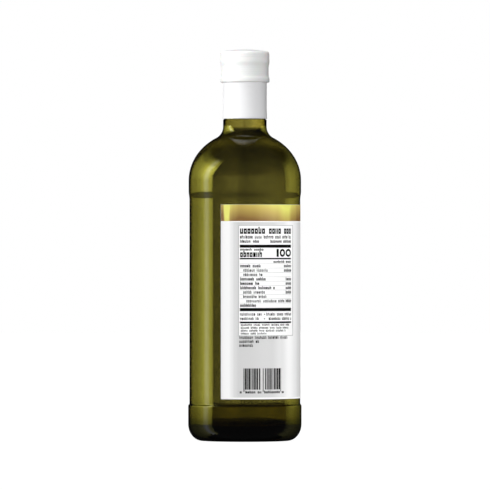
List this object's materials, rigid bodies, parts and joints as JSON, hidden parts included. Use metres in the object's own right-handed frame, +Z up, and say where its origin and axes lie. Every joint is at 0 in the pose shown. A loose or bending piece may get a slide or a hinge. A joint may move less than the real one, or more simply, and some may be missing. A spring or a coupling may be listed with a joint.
{
  "type": "olive oil bottle",
  "caption": "Tall round bottle of dark olive-green glass filled with oil, with a domed shoulder, short neck, white screw cap and sleeve, and a paper label round half of it.",
  "frame": {"origin": "centre of the base ring, on the plane the bottle stands on", "axes": "+Z up along the bottle's axis; -Y is the front, where the label's left edge and printed table are; +X is to the right seen from the front"},
  "size_m": [0.0848, 0.0848, 0.2931],
  "materials": {
    "olive_glass": "polished",
    "golden_oil": "polished",
    "white_plastic": "satin",
    "white_film": "satin",
    "label_paper": "satin"
  },
  "bodies": {
    "root": {"glass_bottle": "olive_glass", "olive_oil": "golden_oil", "screw_cap": "white_plastic", "neck_sleeve": "white_film", "label": "label_paper"}
  },
  "joints": []
}
